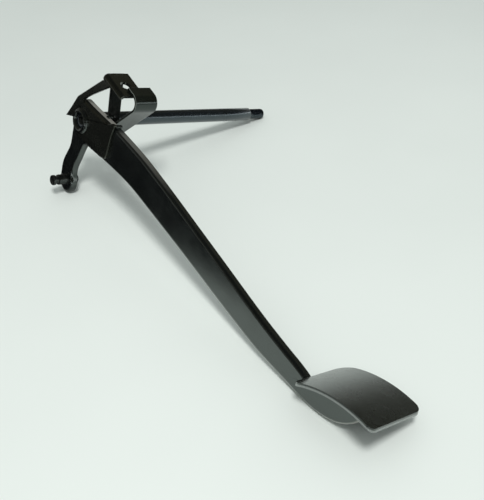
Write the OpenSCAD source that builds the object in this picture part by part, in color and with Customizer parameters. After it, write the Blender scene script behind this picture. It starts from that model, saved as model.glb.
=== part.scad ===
// Suspended foot pedal weldment: bell-crank arm, pivot shaft, stop bracket,
// curled spring strap, rod pin and curved pad plate. Millimetres.
// Local frame: x along the pivot shaft, arm towards -y and -z.

/* [Arm] */
// thickness of the arm blank
arm_t = 7; // [5:0.5:10]
// radius of the hub end round the shaft
hub_r = 19; // [15:0.5:22]
// radius of the eye at the lever end
eye_r = 12.3; // [8:0.5:14]

/* [Shaft] */
// diameter of the pivot shaft
shaft_d = 14.3; // [12:0.1:18]
// full-diameter length measured from the near face of the arm
shaft_len = 217; // [150:1:260]
// how far the shaft end stands past the near face of the arm
shaft_proud = 3.4; // [3:0.1:10]
// diameter of the welded seat inside the hub
seat_d = 16; // [14:0.1:20]
// thread major diameter at the shaft tip
stub_d = 11.1; // [8:0.1:13]
// length of the threaded tip
stub_len = 21; // [12:1:30]
// chamfer at the shoulder
shaft_chamfer = 1.6; // [0.5:0.1:3]

/* [Bracket] */
// sheet thickness of the stop bracket
sheet_t = 3; // [2:0.1:4]
// width of the top plate along the shaft direction
top_w = 25; // [18:1:35]
// diameter of the stop bumper hole
bumper_d = 10.2; // [6:0.1:14]
// width of the leg plate
leg_w = 12.5; // [8:1:20]

/* [Strap] */
// strap width along the shaft direction
strap_w = 24; // [12:1:32]
// strap thickness
strap_t = 2.4; // [1.5:0.1:3.5]
// outside radius of the curl
curl_r = 9.8; // [7:0.1:14]

/* [Pad] */
// pad length along the arm
pad_len = 73.4; // [60:0.2:90]
// pad width across the arm
pad_w = 58; // [45:1:75]
// pad plate thickness
pad_t = 3; // [2:0.1:5]
// height of the crown over the chord
pad_crown = 6.6; // [3:0.5:12]
// corner radius of the pad, near corners and lower far corner
pad_r = 5; // [3:0.5:14]
// corner radius of the pad's upper far corner
pad_r2 = 12; // [3:0.5:16]

/* [Rod pin] */
// diameter of the rod pin body
pin_d = 10.6; // [7:0.1:12]
// length of the pin body in front of the lever
pin_len = 9.5; // [6:0.5:16]
// diameter of the retaining groove
groove_d = 7.2; // [5:0.1:8]

/* [Hidden] */
$fn = 96;

// resting pose: slope of the shaft and small roll, tip, lever and foot down
// origin: on the shaft axis where the journal leaves the far weld
org_x = arm_t + 5;
sigma = 19.2163;
tau = -0.2325;

// rod pin axis, and the centre of the eye's round end
pin_y = 17;
pin_z = -71.4;
eye_y = 18.3;
eye_z = -73.2;

// stop bracket top line, seen along the shaft
tp_y = -28.2;
tp_z = 56.2;
tp_a = 18.13;
tp_len = 32.8;
top_x0 = -sheet_t;
bend_r = 4.2;

// strap
strap_x0 = 8;
sc_y = -58.3;
sc_z = 38.9;
sd_a = -42;
strap_run = 62;

// pad
pad_x = 15.4;
pad_y = -378.2;
pad_z = -62.1;
pad_a = 9.8;
pad_roll = 2.9;
pad_R = pad_len * pad_len / (8 * pad_crown) + pad_crown / 2;

arm_pts = [
  // upper edge, hub to pad
  [4, 20.2], [-5.5, 18.5], [-16, 16.9], [-30, 15.2], [-43.3, 13.6], [-58, 11.4],
  [-72.6, 8.7], [-85, 6.3], [-97.7, 3.6], [-111, 0.1], [-124.9, -3.9], [-149.7, -11.3],
  [-173.8, -18.8], [-192.4, -24.6], [-210.3, -30.1], [-236.4, -38.2],
  [-254, -43.8], [-269.5, -48.6], [-286, -53.6], [-302.3, -57.9],
  [-316, -61.4], [-327, -63.9], [-341.9, -68.3], [-346, -58], [-372, -48], [-399, -50],
  // foot
  [-400.4, -57], [-399, -61.5], [-396, -67], [-392.2, -72], [-388, -76.2],
  [-383.2, -79.8], [-377, -83], [-370, -85.2], [-362, -86.5], [-354, -87.1],
  [-345.5, -86.9], [-336.5, -85.8], [-327.6, -84.5],
  // lower edge, pad to hub
  [-318.8, -83.2], [-309.5, -82.1], [-300.3, -80.8], [-291, -79.5],
  [-282.1, -77.8], [-264.9, -73.7], [-247.3, -69.3], [-229.3, -64.7],
  [-211.1, -59.9], [-192.1, -55], [-172.5, -50], [-152, -45],
  [-130.9, -39.8], [-109.1, -34.5], [-98, -31.8], [-85.8, -29.4],
  [-71.8, -27.5], [-56.7, -26], [-41.3, -24.7], [-26.3, -23.2],
  [-13, -21.9], [-8.4, -22.4], [-5.2, -24.6],
  // lever, inner side
  [-3, -28.5], [0.4, -36.4], [3.2, -44.2], [6.2, -50.2], [8.2, -56.4],
  [8.6, -62], [8.4, -69],
  // lever, outer side
  [30, -70], [30.2, -64], [30, -59.6], [29.2, -55], [27.2, -49.6],
  [24.6, -44.4], [21.8, -39.2], [19.8, -34], [19.1, -29], [19, -20.6],
  [18.9, -11.9], [18.8, -3.4], [14, 8]];

near_pts = [
  [-27.3, 55], [-25.9, 49.2], [-7, 34.6], [12.3, 19.6], [20.5, 6.6],
  [29.2, -6.2], [11.4, -1.2], [11.6, -8], [8, -14.4], [2, -17.6],
  [-10, -19], [-28, -20], [-46, -20.8], [-48, -20.2], [-49.4, -18],
  [-51.3, -4.1], [-53.1, 7.6], [-56.4, 15.2], [-55.4, 16.6], [-49.6, 15.8],
  [-46, 13.2], [-42, 12.4], [-30, 13.6], [-16, 15.2], [-5.5, 16.8], [2.6, 19],
  [-3.5, 24.4], [-22, 36.1], [-39, 46.8], [-45, 49.6]];

// --- placing -------------------------------------------------------
module place() {
  rotate([tau, 0, 0]) rotate([0, sigma, 0]) translate([-org_x, 0, 0]) children();
}

// profile in (y, z) pushed along x
module prism(x0, x1) {
  translate([x0, 0, 0]) rotate([90, 0, 90]) linear_extrude(height = x1 - x0) children();
}

// revolved profile given as [radius, x]
module lathe(pts) {
  rotate([0, 90, 0]) rotate_extrude() polygon(pts);
}

// round bead with ball ends between two points of the (y, z) plane
module bead_yz(x, y0, z0, y1, z1, r) {
  L = sqrt((y1 - y0) * (y1 - y0) + (z1 - z0) * (z1 - z0));
  a = atan2(z1 - z0, y1 - y0);
  translate([x, y0, z0]) rotate([a, 0, 0]) {
    rotate([-90, 0, 0]) cylinder(r = r, h = L, $fn = 24);
    sphere(r = r, $fn = 24);
    translate([0, L, 0]) sphere(r = r, $fn = 24);
  }
}

module pad_frame() {
  translate([pad_x, pad_y, pad_z]) rotate([-pad_a, pad_roll, 0]) children();
}

// solid under the pad's lower face
module under_pad() {
  pad_frame() translate([0, 0, pad_crown - pad_R]) rotate([0, 90, 0])
    translate([0, 0, -pad_w]) cylinder(r = pad_R - pad_t, h = 2 * pad_w, $fn = 360);
}

// --- sub-parts -----------------------------------------------------
module arm_blank() {
  prism(0, arm_t) difference() {
    union() {
      polygon(arm_pts);
      circle(r = hub_r);
      translate([eye_y, eye_z]) circle(r = eye_r);
    }
    circle(d = seat_d);
    translate([pin_y, pin_z]) circle(d = groove_d + 1);
  }
}

module pedal_arm() {
  color([0.05, 0.055, 0.06]) place() {
    difference() {
      arm_blank();
      translate([-1, -460, -120]) cube([arm_t + 2, 117.95, 120]);
    }
    intersection() {
      arm_blank();
      translate([-1, -460, -120]) cube([arm_t + 2, 117.95, 120]);
      under_pad();
    }
  }
}

module pad_plate() {
  color([0.07, 0.075, 0.075]) place() pad_frame() intersection() {
    translate([0, 0, pad_crown - pad_R]) rotate([0, 90, 0]) translate([0, 0, -pad_w]) difference() {
      cylinder(r = pad_R, h = 2 * pad_w, $fn = 360);
      translate([0, 0, -1]) cylinder(r = pad_R - pad_t, h = 2 * pad_w + 2, $fn = 360);
    }
    translate([0, 0, -12]) linear_extrude(height = 24) hull() {
      for (c = [[-1, -1, pad_r], [-1, 1, pad_r], [1, -1, pad_r + 1], [1, 1, pad_r2]])
        translate([c[0] * (pad_w / 2 - c[2]), c[1] * (pad_len / 2 - c[2])]) circle(r = c[2], $fn = 64);
    }
  }
}

// bead that follows the underside of the pad on one face of the arm
module pad_bead(x, w) {
  place() intersection() {
    pad_frame() translate([0, 0, pad_crown - pad_R]) rotate([0, 90, 0])
      translate([0, 0, x - pad_x]) difference() {
        cylinder(r = pad_R - pad_t, h = w, $fn = 360);
        translate([0, 0, -1]) cylinder(r = pad_R - pad_t - 3, h = w + 2, $fn = 360);
      }
    translate([-20, -396, -90]) cube([60, 48, 60]);
  }
}

module pad_weld_near() { color([0.06, 0.06, 0.06]) pad_bead(-3, 3); }
module pad_weld_far() { color([0.06, 0.06, 0.06]) pad_bead(arm_t, 3); }

module pivot_shaft() {
  r = shaft_d / 2;
  q = seat_d / 2;
  s = stub_d / 2;
  color([0.04, 0.045, 0.06]) place() lathe([
    [0, -shaft_proud], [q - 1.6, -shaft_proud], [q, -shaft_proud + 1.6],
    [q, org_x - 0.6], [r, org_x], [r, shaft_len - shaft_chamfer], [r - shaft_chamfer, shaft_len],
    [s - 0.7, shaft_len], [s - 0.7, shaft_len + 1.6], [s, shaft_len + 2.3],
    [s, shaft_len + stub_len - 1.4], [s - 1.4, shaft_len + stub_len],
    [0, shaft_len + stub_len]]);
}

module hub_collar() {
  r = seat_d / 2;
  color([0.06, 0.06, 0.065]) place() difference() {
    translate([0, 0.3, -1.5]) lathe([
      [r - 3, -sheet_t], [r - 3, -sheet_t - 1.5], [r + 0.5, -sheet_t - 2.5], [r + 1.5, -sheet_t - 3.1],
      [r + 2.6, -sheet_t - 2.9], [r + 3.8, -sheet_t - 1.8], [r + 4.7, -sheet_t]]);
    prism(-20, 20) circle(d = seat_d);
  }
}

module shaft_weld_far() {
  r = seat_d / 2;
  color([0.06, 0.06, 0.065]) place() lathe([
    [r, arm_t], [r, arm_t + 4.3], [r + 0.6, arm_t + 4.1],
    [r + 2.2, arm_t + 2.8], [r + 3.8, arm_t + 1], [r + 4.4, arm_t]]);
}

module stop_bracket() {
  color([0.06, 0.065, 0.06]) place() difference() {
    union() {
      // side sheet on the near face of the arm
      difference() {
        prism(-sheet_t, 0) polygon(near_pts);
        translate([0, tp_y, tp_z]) rotate([tp_a, 0, 0])
          translate([-20, -60, -bend_r - 0.01]) cube([60, 80, 20]);
      }
      // bent top plate
      translate([0, tp_y, tp_z]) rotate([tp_a, 0, 0]) rotate([90, 0, 0])
        linear_extrude(height = tp_len) difference() {
          union() {
            translate([top_x0 + bend_r, -sheet_t]) square([top_w - bend_r, sheet_t]);
            intersection() {
              translate([top_x0 + bend_r, -bend_r]) circle(r = bend_r);
              translate([top_x0 - 1, -bend_r]) square([bend_r + 1, bend_r + 1]);
            }
          }
          translate([top_x0 + bend_r, -bend_r]) circle(r = bend_r - sheet_t);
        }
      // strip of the side sheet just under the bend
      translate([0, tp_y, tp_z]) rotate([tp_a, 0, 0])
        translate([-sheet_t, -19.6, -bend_r - 1.6]) cube([sheet_t, 19.6, 1.6]);
    }
    prism(-sheet_t - 1, 1) circle(d = seat_d);
    // stop bumper hole
    translate([0, tp_y, tp_z]) rotate([tp_a, 0, 0])
      translate([10, -17.7, -20]) cylinder(d = bumper_d, h = 40);
  }
}

module bracket_weld() {
  color([0.06, 0.06, 0.06]) place() {
    bead_yz(-0.6, -14, -19.6, -42, -21.2, 1.5);
  }
}

// point of the top plate's side view: s back along it, h above its face
function tp_pt(s, h) = [tp_y + s * cos(tp_a) - h * sin(tp_a), tp_z + s * sin(tp_a) + h * cos(tp_a)];

module bracket_leg() {
  color([0.05, 0.055, 0.06]) place()
    prism(arm_t, arm_t + leg_w)
      polygon(concat([[-28.2, 7], [-31.2, 7], tp_pt(0.3, -3.3), tp_pt(0, -3)],
        [for (k = [0:6]) tp_pt(3.3 * sin(15 * k), -4.1 + 3.3 * cos(15 * k))]));
}

module leg_weld_foot() {
  color([0.07, 0.07, 0.07]) place() {
    translate([arm_t, 0, 0]) rotate([0, 0, 0])
      bead_yz(0.6, -31.8, 8.5, -32.2, 15.4, 1.8);
    translate([arm_t - 4, -33, 15.4]) rotate([0, 90, 0]) cylinder(r = 2, h = 9, $fn = 24);
    translate([arm_t - 4, -33, 15.4]) sphere(r = 2, $fn = 24);
    translate([arm_t + 5, -33, 15.4]) sphere(r = 2, $fn = 24);
  }
}

module leg_weld_top() {
  color([0.07, 0.07, 0.07]) place()
    translate([0, tp_y, tp_z]) rotate([tp_a, 0, 0])
      translate([arm_t + 2, 0.2, -sheet_t - 0.4]) {
        rotate([0, 90, 0]) cylinder(r = 1.4, h = leg_w - 4, $fn = 24);
        sphere(r = 1.4, $fn = 24);
        translate([leg_w - 4, 0, 0]) sphere(r = 1.4, $fn = 24);
      }
}

// side profile of the strap: flat end, curl, straight run back to the arm
function strap_arc(r, n) = [for (k = [0:n])
  let (a = (90 + tp_a) + k * (180 + sd_a - tp_a) / n) [sc_y + r * cos(a), sc_z + r * sin(a)]];
function strap_in(r) = [sc_y + r * cos(90 + tp_a) + 9.6 * cos(tp_a),
  sc_z + r * sin(90 + tp_a) + 9.6 * sin(tp_a)];
function strap_out(r) = [sc_y + r * cos(270 + sd_a) + strap_run * cos(sd_a),
  sc_z + r * sin(270 + sd_a) + strap_run * sin(sd_a)];

module spring_strap() {
  ri = curl_r - strap_t;
  inner = strap_arc(ri, 20);
  color([0.09, 0.1, 0.1]) place() prism(strap_x0, strap_x0 + strap_w)
    polygon(concat([strap_in(curl_r)], strap_arc(curl_r, 20), [strap_out(curl_r), strap_out(ri)],
      [for (k = [20:-1:0]) inner[k]], [strap_in(ri)]));
}

module strap_weld_top() {
  color([0.07, 0.07, 0.07]) place()
    translate([0, tp_y, tp_z]) rotate([tp_a, 0, 0])
      translate([strap_x0 + 2, -24.9, 0.3]) {
        rotate([0, 90, 0]) cylinder(r = 1.5, h = 10, $fn = 24);
        sphere(r = 1.5, $fn = 24);
        translate([10, 0, 0]) sphere(r = 1.5, $fn = 24);
      }
}

module strap_weld_arm() {
  color([0.07, 0.07, 0.07]) place()
    translate([0, sc_y, sc_z]) rotate([sd_a, 0, 0])
      translate([arm_t + 0.9, 38, -curl_r + strap_t]) {
        rotate([-90, 0, 0]) cylinder(r = 1.6, h = 20, $fn = 24);
        sphere(r = 1.6, $fn = 24);
        translate([0, 20, 0]) sphere(r = 1.6, $fn = 24);
      }
}

// short bead over the arm's edge, between the side sheet's lug and the strap
module lug_weld() {
  color([0.07, 0.07, 0.07]) place() translate([1.5, -51.5, 12.6]) {
    rotate([0, 90, 0]) cylinder(r = 1.9, h = 7, $fn = 24);
    sphere(r = 1.9, $fn = 24);
    translate([7, 0, 0]) sphere(r = 1.9, $fn = 24);
  }
}

module rod_pin() {
  r = pin_d / 2;
  g = groove_d / 2;
  color([0.06, 0.06, 0.065]) place() translate([0, pin_y, pin_z]) lathe([
    [0, -pin_len - 6.1], [r - 2.8, -pin_len - 6.1], [r - 1.2, -pin_len - 6.9],
    [r - 0.6, -pin_len - 6.9], [r - 0.1, -pin_len - 6.4], [r - 0.1, -pin_len - 4],
    [r - 0.6, -pin_len - 3.5], [g, -pin_len - 3.5], [g, -pin_len - 0.5],
    [r - 0.5, -pin_len - 0.5], [r, -pin_len], [r, 0], [g + 0.5, 0],
    [g + 0.5, arm_t + 1.4], [r + 0.1, arm_t + 1.4], [r + 0.1, arm_t + 3.6],
    [r - 0.9, arm_t + 4.7], [0, arm_t + 5]]);
}

module rod_pin_washer() {
  color([0.05, 0.05, 0.055]) place() translate([0, pin_y, pin_z]) lathe([
    [groove_d / 2 + 0.5, arm_t], [6.2, arm_t], [6.4, arm_t + 0.2],
    [6.4, arm_t + 1.2], [6.2, arm_t + 1.4], [groove_d / 2 + 0.5, arm_t + 1.4]]);
}

pedal_arm();
pad_plate();
pad_weld_near();
pad_weld_far();
pivot_shaft();
hub_collar();
shaft_weld_far();
stop_bracket();
bracket_weld();
bracket_leg();
leg_weld_foot();
leg_weld_top();
spring_strap();
strap_weld_top();
strap_weld_arm();
lug_weld();
rod_pin();
rod_pin_washer();
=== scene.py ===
import bpy
import json
import math
from mathutils import Matrix, Vector


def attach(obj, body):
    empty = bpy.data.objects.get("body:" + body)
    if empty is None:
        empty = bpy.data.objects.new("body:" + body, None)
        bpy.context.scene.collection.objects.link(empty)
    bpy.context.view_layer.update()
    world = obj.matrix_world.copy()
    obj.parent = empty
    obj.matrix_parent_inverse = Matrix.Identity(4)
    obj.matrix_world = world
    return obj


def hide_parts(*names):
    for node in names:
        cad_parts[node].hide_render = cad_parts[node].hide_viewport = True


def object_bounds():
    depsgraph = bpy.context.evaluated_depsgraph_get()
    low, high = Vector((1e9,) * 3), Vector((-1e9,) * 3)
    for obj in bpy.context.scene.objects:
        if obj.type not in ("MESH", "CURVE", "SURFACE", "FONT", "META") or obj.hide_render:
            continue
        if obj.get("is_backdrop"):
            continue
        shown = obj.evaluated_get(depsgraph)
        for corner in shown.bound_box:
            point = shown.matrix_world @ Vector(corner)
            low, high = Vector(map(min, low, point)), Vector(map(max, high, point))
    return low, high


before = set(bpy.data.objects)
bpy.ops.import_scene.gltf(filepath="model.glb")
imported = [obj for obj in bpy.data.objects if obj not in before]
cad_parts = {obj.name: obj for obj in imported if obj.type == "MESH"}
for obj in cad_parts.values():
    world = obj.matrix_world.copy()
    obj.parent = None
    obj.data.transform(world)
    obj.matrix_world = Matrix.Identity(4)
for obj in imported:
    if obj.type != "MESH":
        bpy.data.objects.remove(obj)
cad_lo, cad_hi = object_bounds()

# ---------------------------------------------------------------- frame
# Local frame in mm: x along the pivot shaft, y and z in the arm's plane.
SIG = math.radians(19.2163)
TAU = math.radians(-0.2325)
ORG = 12.0
R3 = Matrix.Rotation(TAU, 3, 'X') @ Matrix.Rotation(SIG, 3, 'Y')


def W(x, y, z):
    """Local mm to row-frame metres."""
    return R3 @ Vector((x - ORG, y, z)) * 0.001


FLOOR_Z = cad_lo[2]

# ---------------------------------------------------------------- sizes
ARM_T = 7.0
SHEET = 3.0
STRAP_T = 2.4
SHAFT_R = 7.15
SEAT_R = 8.0
STUB_R = 5.55
SHAFT_L = 217.0
STUB_L = 21.0
PIN = (17.0, -71.4)
EYE = (18.3, -73.2)
EYE_R = 12.3
TP = (-28.2, 56.2)
TPA = math.radians(18.13)
TPLEN = 32.8
TOPW = 25.0
BEND = 4.2
SC = (-58.3, 38.9)
SDA = math.radians(-42.0)
CURL = 9.8
PADC = (15.4, -378.2, -62.1)
PADA = math.radians(9.8)
PADROLL = math.radians(2.9)
PADL, PADW, PADT, PADR, PADR2, CROWN = 73.4, 58.0, 3.0, 5.0, 12.0, 6.6
PR = PADL * PADL / (8 * CROWN) + CROWN / 2


# ---------------------------------------------------------------- nodes helpers
def new_mat(name):
    m = bpy.data.materials.new(name)
    m.use_nodes = True
    nt = m.node_tree
    for n in list(nt.nodes):
        nt.nodes.remove(n)
    return m, nt


def paint(name, base, rough, peel=0.10, peel_scale=900.0, wear=0.25, dust=0.12, coat=0.35,
          coat_rough=0.12, ripple=0.0, mottling=0.35, spec=0.5, painted_light_edge=None, edge_rough=0.5, tint=(0.86, 1.0, 0.93),
          side=None, painted_rim_highlight=None):
    """Black paint over steel: orange peel, uneven gloss, faint dust, rubbed edges; optional painted floor reflections
    and highlights on chosen faces and edges.
    """
    m, nt = new_mat(name)
    N, L = nt.nodes, nt.links
    out = N.new('ShaderNodeOutputMaterial')
    b = N.new('ShaderNodeBsdfPrincipled')
    L.new(b.outputs['BSDF'], out.inputs['Surface'])
    tc = N.new('ShaderNodeTexCoord')
    # broad mottling of the colour
    n1 = N.new('ShaderNodeTexNoise')
    n1.inputs['Scale'].default_value = 38.0
    n1.inputs['Detail'].default_value = 5.0
    n1.inputs['Roughness'].default_value = 0.6
    L.new(tc.outputs['Object'], n1.inputs['Vector'])
    r1 = N.new('ShaderNodeValToRGB')
    r1.color_ramp.elements[0].position = 0.3
    r1.color_ramp.elements[0].color = tuple(c * (1 - mottling) for c in base) + (1,)
    r1.color_ramp.elements[1].position = 0.72
    r1.color_ramp.elements[1].color = tuple(c * (1 + mottling) for c in base) + (1,)
    L.new(n1.outputs['Fac'], r1.inputs['Fac'])
    # fine dust specks
    n2 = N.new('ShaderNodeTexNoise')
    n2.inputs['Scale'].default_value = 620.0
    n2.inputs['Detail'].default_value = 2.0
    L.new(tc.outputs['Object'], n2.inputs['Vector'])
    r2 = N.new('ShaderNodeValToRGB')
    r2.color_ramp.elements[0].position = 0.66
    r2.color_ramp.elements[0].color = (0, 0, 0, 1)
    r2.color_ramp.elements[1].position = 0.80
    r2.color_ramp.elements[1].color = (dust, dust, dust, 1)
    L.new(n2.outputs['Fac'], r2.inputs['Fac'])
    mx = N.new('ShaderNodeMix')
    mx.data_type = 'RGBA'
    mx.inputs[7].default_value = (0.16, 0.16, 0.15, 1)
    L.new(r2.outputs['Color'], mx.inputs[0])
    L.new(r1.outputs['Color'], mx.inputs[6])
    # rubbed edges
    g = N.new('ShaderNodeNewGeometry')
    r3 = N.new('ShaderNodeValToRGB')
    r3.color_ramp.elements[0].position = 0.53
    r3.color_ramp.elements[0].color = (0, 0, 0, 1)
    r3.color_ramp.elements[1].position = 0.62
    r3.color_ramp.elements[1].color = (1, 1, 1, 1)
    L.new(g.outputs['Pointiness'], r3.inputs['Fac'])
    n3 = N.new('ShaderNodeTexNoise')
    n3.inputs['Scale'].default_value = 210.0
    n3.inputs['Detail'].default_value = 4.0
    L.new(tc.outputs['Object'], n3.inputs['Vector'])
    r4 = N.new('ShaderNodeValToRGB')
    r4.color_ramp.elements[0].position = 0.45
    r4.color_ramp.elements[1].position = 0.7
    L.new(n3.outputs['Fac'], r4.inputs['Fac'])
    mu = N.new('ShaderNodeMath')
    mu.operation = 'MULTIPLY'
    L.new(r3.outputs['Color'], mu.inputs[0])
    L.new(r4.outputs['Color'], mu.inputs[1])
    mw = N.new('ShaderNodeMath')
    mw.operation = 'MULTIPLY'
    mw.inputs[1].default_value = wear
    L.new(mu.outputs[0], mw.inputs[0])
    mx2 = N.new('ShaderNodeMix')
    mx2.data_type = 'RGBA'
    mx2.inputs[7].default_value = (0.20, 0.20, 0.19, 1)
    L.new(mw.outputs[0], mx2.inputs[0])
    L.new(mx.outputs[2], mx2.inputs[6])
    colour = mx2.outputs[2]
    painted_light_fac = None
    if painted_light_edge:
        # painted floor reflection: the blank's lower side wall, far along the arm, is painted lighter grey, and it is
        # rougher than its faces
        dn = N.new('ShaderNodeVectorMath')
        dn.operation = 'DOT_PRODUCT'
        dn.inputs[1].default_value = tuple((R3 @ Vector((0, -0.25, -0.97))).normalized())
        L.new(g.outputs['Normal'], dn.inputs[0])
        er = N.new('ShaderNodeMapRange')
        er.inputs['From Min'].default_value = 0.20
        er.inputs['From Max'].default_value = 0.60
        er.inputs['To Min'].default_value = 0.0
        er.inputs['To Max'].default_value = 1.0
        L.new(dn.outputs['Value'], er.inputs['Value'])
        al = N.new('ShaderNodeVectorMath')
        al.operation = 'DOT_PRODUCT'
        al.inputs[1].default_value = tuple(R3 @ Vector((0, 1, 0)))
        L.new(tc.outputs['Object'], al.inputs[0])
        far_ = N.new('ShaderNodeMapRange')
        far_.inputs['From Min'].default_value = -0.035
        far_.inputs['From Max'].default_value = -0.070
        L.new(al.outputs['Value'], far_.inputs['Value'])
        ef = N.new('ShaderNodeMath')
        ef.operation = 'MULTIPLY'
        L.new(er.outputs['Result'], ef.inputs[0])
        L.new(far_.outputs['Result'], ef.inputs[1])
        painted_light_fac = ef.outputs[0]
        mx3 = N.new('ShaderNodeMix')
        mx3.data_type = 'RGBA'
        mx3.inputs[7].default_value = tuple(painted_light_edge) + (1,)
        # painted highlight strip on the upper edge under the bracket's window
        up_ = N.new('ShaderNodeVectorMath')
        up_.operation = 'DOT_PRODUCT'
        up_.inputs[1].default_value = tuple(R3 @ Vector((0, 0, 1)))
        L.new(g.outputs['Normal'], up_.inputs[0])
        u1 = N.new('ShaderNodeMapRange')
        u1.inputs['From Min'].default_value = 0.90
        u1.inputs['From Max'].default_value = 0.97
        L.new(up_.outputs['Value'], u1.inputs['Value'])
        u2 = N.new('ShaderNodeMapRange')
        u2.inputs['From Min'].default_value = -0.052
        u2.inputs['From Max'].default_value = -0.046
        L.new(al.outputs['Value'], u2.inputs['Value'])
        um = N.new('ShaderNodeMath')
        um.operation = 'MULTIPLY'
        L.new(u1.outputs['Result'], um.inputs[0])
        L.new(u2.outputs['Result'], um.inputs[1])
        # and a fainter painted highlight beyond the strap, fading out along the arm
        v1 = N.new('ShaderNodeMapRange')
        v1.inputs['From Min'].default_value = 0.72
        v1.inputs['From Max'].default_value = 0.92
        L.new(up_.outputs['Value'], v1.inputs['Value'])
        v2 = N.new('ShaderNodeMapRange')
        v2.inputs['From Min'].default_value = -0.056
        v2.inputs['From Max'].default_value = -0.066
        L.new(al.outputs['Value'], v2.inputs['Value'])
        v3 = N.new('ShaderNodeMapRange')
        v3.inputs['From Min'].default_value = -0.150
        v3.inputs['From Max'].default_value = -0.080
        v3.inputs['To Max'].default_value = 0.42
        L.new(al.outputs['Value'], v3.inputs['Value'])
        v4 = N.new('ShaderNodeMath')
        v4.operation = 'MULTIPLY'
        L.new(v1.outputs['Result'], v4.inputs[0])
        L.new(v2.outputs['Result'], v4.inputs[1])
        v5 = N.new('ShaderNodeMath')
        v5.operation = 'MULTIPLY'
        L.new(v4.outputs[0], v5.inputs[0])
        L.new(v3.outputs['Result'], v5.inputs[1])
        v6 = N.new('ShaderNodeMath')
        v6.operation = 'MAXIMUM'
        L.new(um.outputs[0], v6.inputs[0])
        L.new(v5.outputs[0], v6.inputs[1])
        us = N.new('ShaderNodeMath')
        us.operation = 'MAXIMUM'
        L.new(v6.outputs[0], us.inputs[0])
        L.new(painted_light_fac, us.inputs[1])
        painted_light_fac = us.outputs[0]
        L.new(painted_light_fac, mx3.inputs[0])
        L.new(colour, mx3.inputs[6])
        colour = mx3.outputs[2]
    if side:
        # painted floor reflection on the side wall of a plate lying across the axis side[0]
        sd = N.new('ShaderNodeVectorMath')
        sd.operation = 'DOT_PRODUCT'
        sd.inputs[1].default_value = tuple(side[0])
        L.new(g.outputs['Normal'], sd.inputs[0])
        sa = N.new('ShaderNodeMath')
        sa.operation = 'ABSOLUTE'
        L.new(sd.outputs['Value'], sa.inputs[0])
        sr = N.new('ShaderNodeMapRange')
        sr.inputs['From Min'].default_value = 0.30
        sr.inputs['From Max'].default_value = 0.55
        sr.inputs['To Min'].default_value = 1.0
        sr.inputs['To Max'].default_value = 0.0
        L.new(sa.outputs[0], sr.inputs['Value'])
        # only its lower part: nearer than side[4] to the axis side[3] of the curl through side[2]
        s1 = N.new('ShaderNodeVectorMath')
        s1.operation = 'SUBTRACT'
        s1.inputs[1].default_value = tuple(side[2])
        L.new(tc.outputs['Object'], s1.inputs[0])
        s2 = N.new('ShaderNodeVectorMath')
        s2.operation = 'CROSS_PRODUCT'
        s2.inputs[1].default_value = tuple(side[3])
        L.new(s1.outputs['Vector'], s2.inputs[0])
        s3 = N.new('ShaderNodeVectorMath')
        s3.operation = 'LENGTH'
        L.new(s2.outputs['Vector'], s3.inputs[0])
        s4 = N.new('ShaderNodeMapRange')
        s4.inputs['From Min'].default_value = side[4] - 0.0002
        s4.inputs['From Max'].default_value = side[4] + 0.0002
        s4.inputs['To Min'].default_value = 1.0
        s4.inputs['To Max'].default_value = 0.0
        L.new(s3.outputs['Value'], s4.inputs['Value'])
        s5 = N.new('ShaderNodeMath')
        s5.operation = 'MULTIPLY'
        L.new(sr.outputs['Result'], s5.inputs[0])
        L.new(s4.outputs['Result'], s5.inputs[1])
        mx5 = N.new('ShaderNodeMix')
        mx5.data_type = 'RGBA'
        mx5.inputs[7].default_value = tuple(side[1]) + (1,)
        L.new(s5.outputs[0], mx5.inputs[0])
        L.new(colour, mx5.inputs[6])
        colour = mx5.outputs[2]
    if painted_rim_highlight:
        # painted highlight along the rounded edges of the side facing the axis given first
        rd = N.new('ShaderNodeVectorMath')
        rd.operation = 'DOT_PRODUCT'
        rd.inputs[1].default_value = tuple(painted_rim_highlight[0])
        L.new(g.outputs['Normal'], rd.inputs[0])
        ra = N.new('ShaderNodeMapRange')
        ra.inputs['From Min'].default_value = 0.30
        ra.inputs['From Max'].default_value = 0.50
        L.new(rd.outputs['Value'], ra.inputs['Value'])
        rb = N.new('ShaderNodeMapRange')
        rb.inputs['From Min'].default_value = 0.80
        rb.inputs['From Max'].default_value = 0.94
        rb.inputs['To Min'].default_value = 1.0
        rb.inputs['To Max'].default_value = 0.0
        L.new(rd.outputs['Value'], rb.inputs['Value'])
        rc = N.new('ShaderNodeMath')
        rc.operation = 'MULTIPLY'
        L.new(ra.outputs['Result'], rc.inputs[0])
        L.new(rb.outputs['Result'], rc.inputs[1])
        mx6 = N.new('ShaderNodeMix')
        mx6.data_type = 'RGBA'
        mx6.inputs[7].default_value = tuple(painted_rim_highlight[1]) + (1,)
        L.new(rc.outputs[0], mx6.inputs[0])
        L.new(colour, mx6.inputs[6])
        colour = mx6.outputs[2]
    L.new(colour, b.inputs['Base Color'])
    # uneven gloss
    n4 = N.new('ShaderNodeTexNoise')
    n4.inputs['Scale'].default_value = 70.0
    n4.inputs['Detail'].default_value = 6.0
    L.new(tc.outputs['Object'], n4.inputs['Vector'])
    mr = N.new('ShaderNodeMapRange')
    mr.inputs['From Min'].default_value = 0.25
    mr.inputs['From Max'].default_value = 0.75
    mr.inputs['To Min'].default_value = rough * 0.8
    mr.inputs['To Max'].default_value = rough * 1.25
    L.new(n4.outputs['Fac'], mr.inputs['Value'])
    if painted_light_edge:
        mxr = N.new('ShaderNodeMix')
        mxr.data_type = 'FLOAT'
        mxr.inputs[3].default_value = edge_rough
        L.new(painted_light_fac, mxr.inputs[0])
        L.new(mr.outputs['Result'], mxr.inputs[2])
        L.new(mxr.outputs[0], b.inputs['Roughness'])
    else:
        L.new(mr.outputs['Result'], b.inputs['Roughness'])
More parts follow.
